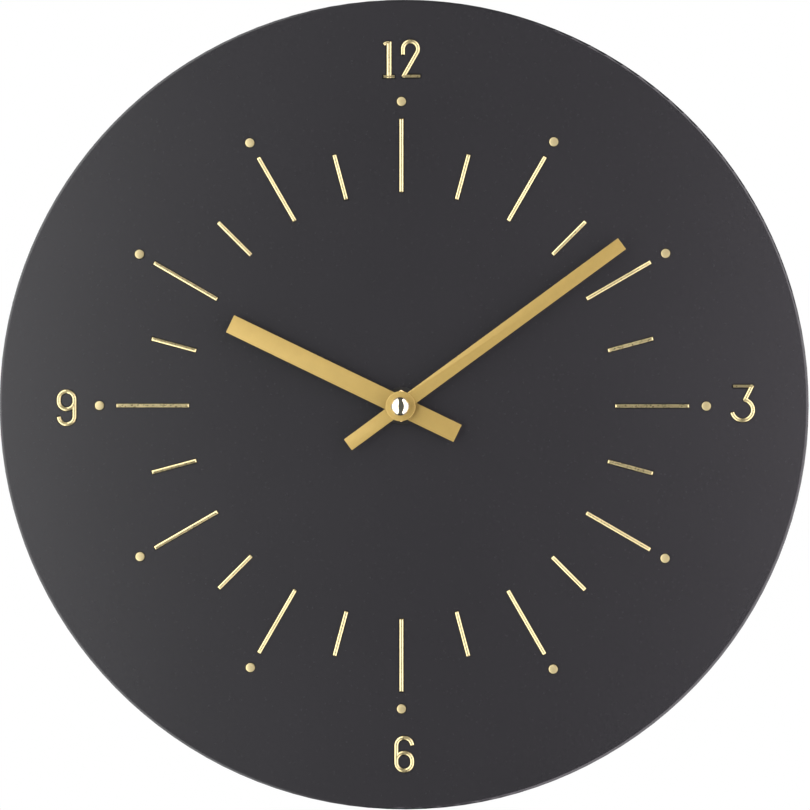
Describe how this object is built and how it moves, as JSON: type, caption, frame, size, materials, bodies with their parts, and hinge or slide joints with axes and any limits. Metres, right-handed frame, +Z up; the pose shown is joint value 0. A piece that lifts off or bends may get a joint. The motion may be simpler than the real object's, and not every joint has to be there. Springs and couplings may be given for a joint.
{
  "type": "wall clock",
  "caption": "Round battery wall clock: dark lacquered board with inlaid brass bars, dots and numerals, two flat gold hands, a quartz movement in the back and a keyhole hanger.",
  "frame": {"origin": "on the dial's axis, in the plane of the board's back, which is the plane of the wall", "axes": "+Z up, +Y from the dial's face into the wall, so the dial faces -Y; +X to the right of someone who reads the clock"},
  "size_m": [0.3, 0.0329, 0.3],
  "materials": {
    "black_lacquer": "board with a smooth satin anthracite lacquer",
    "brass_inlay": "polished brass",
    "gold_hand": "satin gold anodised sheet",
    "polished_brass": "mirror polished",
    "bush_brass": "turned brass",
    "zinc_steel": "zinc plated sheet",
    "bright_steel": "bright drawn steel",
    "nickel_contact": "nickel plated",
    "motor_iron": "soft iron sheet",
    "magnet": "sintered ferrite",
    "copper_wire": "enamelled copper winding",
    "rubber_pad": "black rubber sheet",
    "black_case": "black moulded plastic",
    "white_moulding": "natural acetal",
    "board_green": "phenolic circuit board",
    "black_epoxy": "epoxy drop over the chip",
    "battery_sleeve": "plain printed sleeve"
  },
  "bodies": {
    "clock": {"dial_board": "black_lacquer", "hour_bars": "brass_inlay", "half_hour_bars": "brass_inlay", "hour_dots": "brass_inlay", "numeral_12_one": "brass_inlay", "numeral_12_two": "brass_inlay", "numeral_3": "brass_inlay", "numeral_6": "brass_inlay", "numeral_9": "brass_inlay", "keyhole_hanger": "zinc_steel", "hanger_screws": "zinc_steel", "rubber_gasket": "rubber_pad", "washer": "rubber_pad", "clamp_nut": "bush_brass", "threaded_bush": "bush_brass", "movement_case": "black_case", "rear_cover": "black_case", "middle_plate": "white_moulding", "rear_plate": "white_moulding", "minute_wheel_pin": "bright_steel", "stator_plate": "motor_iron", "coil_core": "motor_iron", "coil_bobbin": "white_moulding", "coil_winding": "copper_wire", "circuit_board": "board_green", "chip_blob": "black_epoxy", "quartz_crystal": "bright_steel", "positive_contact": "nickel_contact", "negative_contact": "nickel_contact"},
    "seconds": {"seconds_wheel": "white_moulding", "seconds_shaft": "bright_steel"},
    "intermediate": {"intermediate_wheel": "white_moulding"},
    "rotor": {"rotor_pinion": "white_moulding", "rotor_magnet": "magnet"},
    "third": {"third_wheel": "white_moulding"},
    "centre": {"centre_wheel": "white_moulding"},
    "minute": {"minute_pipe": "bush_brass", "clutch_collar": "bright_steel", "clutch_spring": "bright_steel", "minute_hand": "gold_hand", "minute_hand_hub": "gold_hand", "cap_nut": "polished_brass"},
    "motion": {"minute_wheel": "white_moulding"},
    "hour": {"hour_wheel": "white_moulding", "hour_hand_collet": "gold_hand", "hour_hand": "gold_hand"},
    "knob": {"setting_knob": "black_case"},
    "battery": {"battery_can": "nickel_contact", "battery_jacket": "battery_sleeve"}
  },
  "joints": [
    {"name": "seconds_wheel_spin", "type": "hinge", "parent": "clock", "child": "seconds", "pos_m": [0, -0.01, 0], "axis": [0, 1, 0], "continuous": true},
    {"name": "intermediate_wheel_spin", "type": "hinge", "parent": "clock", "child": "intermediate", "pos_m": [-0.00525, -0.01, 0.00909], "axis": [0, 1, 0], "continuous": true},
    {"name": "rotor_spin", "type": "hinge", "parent": "clock", "child": "rotor", "pos_m": [-0.01234, -0.01, 0.01034], "axis": [0, 1, 0], "continuous": true},
    {"name": "third_wheel_spin", "type": "hinge", "parent": "clock", "child": "third", "pos_m": [0.0102, -0.01, 0], "axis": [0, 1, 0], "continuous": true},
    {"name": "centre_wheel_spin", "type": "hinge", "parent": "clock", "child": "centre", "pos_m": [0, -0.01, 0], "axis": [0, 1, 0], "continuous": true},
    {"name": "minute_hand_spin", "type": "hinge", "parent": "clock", "child": "minute", "pos_m": [0, -0.01, 0], "axis": [0, 1, 0], "continuous": true},
    {"name": "minute_wheel_spin", "type": "hinge", "parent": "clock", "child": "motion", "pos_m": [0.00849, -0.01, 0.00849], "axis": [0, 1, 0], "continuous": true},
    {"name": "hour_hand_spin", "type": "hinge", "parent": "clock", "child": "hour", "pos_m": [0, -0.01, 0], "axis": [0, 1, 0], "continuous": true},
    {"name": "setting_knob_spin", "type": "hinge", "parent": "clock", "child": "knob", "pos_m": [0.01697, -0.01, 0.01697], "axis": [0, 1, 0], "continuous": true},
    {"name": "battery_slide", "type": "slide", "parent": "clock", "child": "battery", "axis": [0, 1, 0], "range_m": [0, 0.02]}
  ],
  "couplings": [
    {"joint": "intermediate_wheel_spin", "follows": "seconds_wheel_spin", "ratio": -6},
    {"joint": "rotor_spin", "follows": "seconds_wheel_spin", "ratio": 30},
    {"joint": "third_wheel_spin", "follows": "seconds_wheel_spin", "ratio": -0.13333},
    {"joint": "centre_wheel_spin", "follows": "seconds_wheel_spin", "ratio": 0.016667},
    {"joint": "minute_wheel_spin", "follows": "minute_hand_spin", "ratio": -0.33333},
    {"joint": "hour_hand_spin", "follows": "minute_hand_spin", "ratio": 0.083333},
    {"joint": "setting_knob_spin", "follows": "minute_hand_spin", "ratio": 1}
  ]
}
